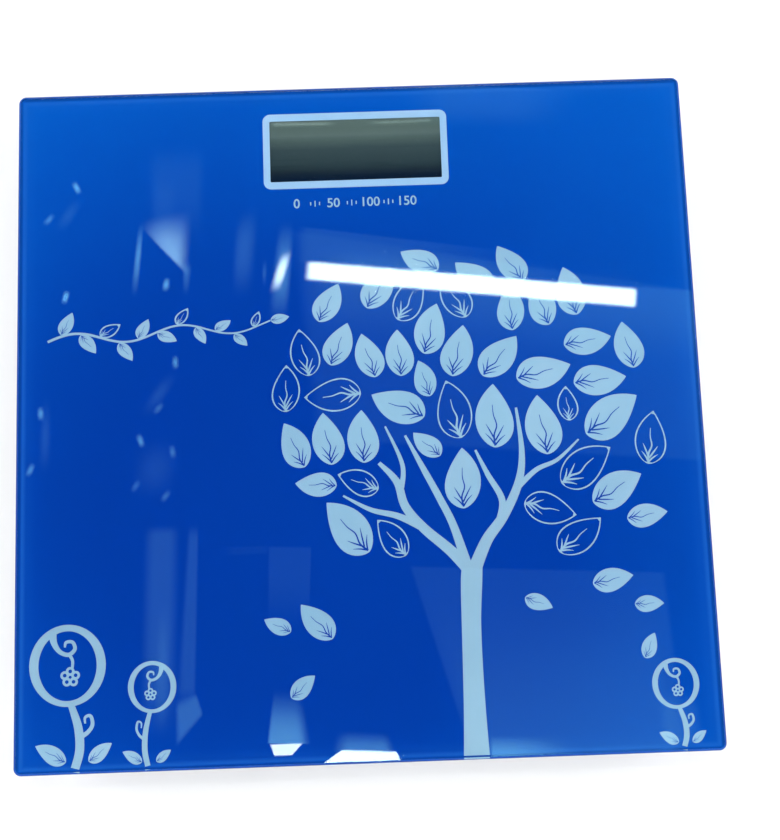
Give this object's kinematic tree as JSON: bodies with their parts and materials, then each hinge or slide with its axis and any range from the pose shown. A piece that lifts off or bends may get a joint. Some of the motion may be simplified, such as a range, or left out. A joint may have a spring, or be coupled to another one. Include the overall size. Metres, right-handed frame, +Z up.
{
  "type": "digital bathroom scale",
  "caption": "Square glass platform scale with a back-printed blue surface, a liquid-crystal display near one edge, and load-cell feet under a plastic base tray.",
  "frame": {"origin": "on the floor plane under the middle of the glass platform", "axes": "+Z up; +Y towards the edge with the display; +X to the right of a person who faces the display"},
  "size_m": [0.28, 0.28, 0.024],
  "materials": {
    "platform_glass": "clear tempered glass, polished bevel",
    "blue_print": "glossy enamel print seen through glass",
    "pale_print": "pale blue enamel print",
    "foam_tape": "white foam tape",
    "tray_plastic": "fine spark-eroded texture",
    "cell_steel": "nickel-plated, brushed",
    "gauge_sealant": "white silicone sealant",
    "retainer_plastic": "plain moulded",
    "screw_steel": "zinc-plated",
    "foot_plastic": "plain moulded",
    "foot_rubber": "matte, non-slip",
    "display_glass": "thin flat glass",
    "polariser": "grey-green film",
    "reflector_film": "satin foil",
    "holder_plastic": "black moulded",
    "black_foam": "matte foam",
    "zebra_rubber": "striped silicone",
    "board_laminate": "green solder mask",
    "chip_epoxy": "black epoxy",
    "component_ceramic": "small chips",
    "switch_case": "black moulded",
    "button_plastic": "dark grey moulded",
    "contact_metal": "nickel-plated strip",
    "battery_wrap": "printed sleeve",
    "label_film": "silver-grey film",
    "wire_red": "soft insulation",
    "wire_black": "soft insulation",
    "wire_white": "soft insulation"
  },
  "bodies": {
    "scale": {"base_tray": "tray_plastic", "battery_bridge_plate": "contact_metal", "battery_bridge_spring": "contact_metal", "battery_negative_plate": "contact_metal", "battery_negative_spring": "contact_metal", "battery_one": "battery_wrap", "battery_positive_plate": "contact_metal", "battery_two": "battery_wrap", "battery_wire_black": "wire_black", "battery_wire_red": "wire_red", "board_components": "component_ceramic", "board_screws": "screw_steel", "bonding_tape": "foam_tape", "chip_cover": "chip_epoxy", "circuit_board": "board_laminate", "display_border": "pale_print", "display_gasket": "black_foam", "display_holder": "holder_plastic", "glass_platform": "platform_glass", "lcd_front_glass": "display_glass", "lcd_front_polariser": "polariser", "lcd_rear_glass": "display_glass", "lcd_reflector": "reflector_film", "load_cell_front_left": "cell_steel", "load_cell_front_right": "cell_steel", "load_cell_rear_left": "cell_steel", "load_cell_rear_right": "cell_steel", "load_cell_retainer_front_left": "retainer_plastic", "load_cell_retainer_front_right": "retainer_plastic", "load_cell_retainer_rear_left": "retainer_plastic", "load_cell_retainer_rear_right": "retainer_plastic", "load_cell_wires_black": "wire_black", "load_cell_wires_red": "wire_red", "load_cell_wires_white": "wire_white", "printed_backing": "blue_print", "rating_label": "label_film", "retainer_screws": "screw_steel", "strain_gauges": "gauge_sealant", "unit_switch": "switch_case", "zebra_connector": "zebra_rubber"},
    "foot_front_left": {"foot_front_left": "foot_plastic", "foot_pad_front_left": "foot_rubber"},
    "foot_front_right": {"foot_front_right": "foot_plastic", "foot_pad_front_right": "foot_rubber"},
    "foot_rear_left": {"foot_rear_left": "foot_plastic", "foot_pad_rear_left": "foot_rubber"},
    "foot_rear_right": {"foot_rear_right": "foot_plastic", "foot_pad_rear_right": "foot_rubber"},
    "unit_button": {"unit_button": "button_plastic", "unit_switch_plunger": "switch_case"},
    "battery_door": {"battery_door": "tray_plastic"},
    "battery_door_latch": {"battery_door_latch": "tray_plastic"}
  },
  "joints": [
    {"name": "foot_front_left_travel", "type": "slide", "parent": "scale", "child": "foot_front_left", "axis": [0, 0, 1], "range_m": [-0.00075, 0]},
    {"name": "foot_front_right_travel", "type": "slide", "parent": "scale", "child": "foot_front_right", "axis": [0, 0, 1], "range_m": [-0.00075, 0]},
    {"name": "foot_rear_left_travel", "type": "slide", "parent": "scale", "child": "foot_rear_left", "axis": [0, 0, 1], "range_m": [-0.00075, 0]},
    {"name": "foot_rear_right_travel", "type": "slide", "parent": "scale", "child": "foot_rear_right", "axis": [0, 0, 1], "range_m": [-0.00075, 0]},
    {"name": "unit_button_press", "type": "slide", "parent": "scale", "child": "unit_button", "axis": [0, 0, 1], "range_m": [0, 0.0003], "stiffness_N_per_m": 3000, "springref_m": -0.0002},
    {"name": "battery_door_swing", "type": "hinge", "parent": "scale", "child": "battery_door", "pos_m": [-0.0283, 0.01, 0.0057], "axis": [0, 1, 0], "range_deg": [0, 70]},
    {"name": "battery_door_latch_flex", "type": "hinge", "parent": "battery_door", "child": "battery_door_latch", "pos_m": [0.0294, 0.01, 0.011], "axis": [0, 1, 0], "range_deg": [0, 15], "stiffness_Nm_per_rad": 0.05}
  ]
}
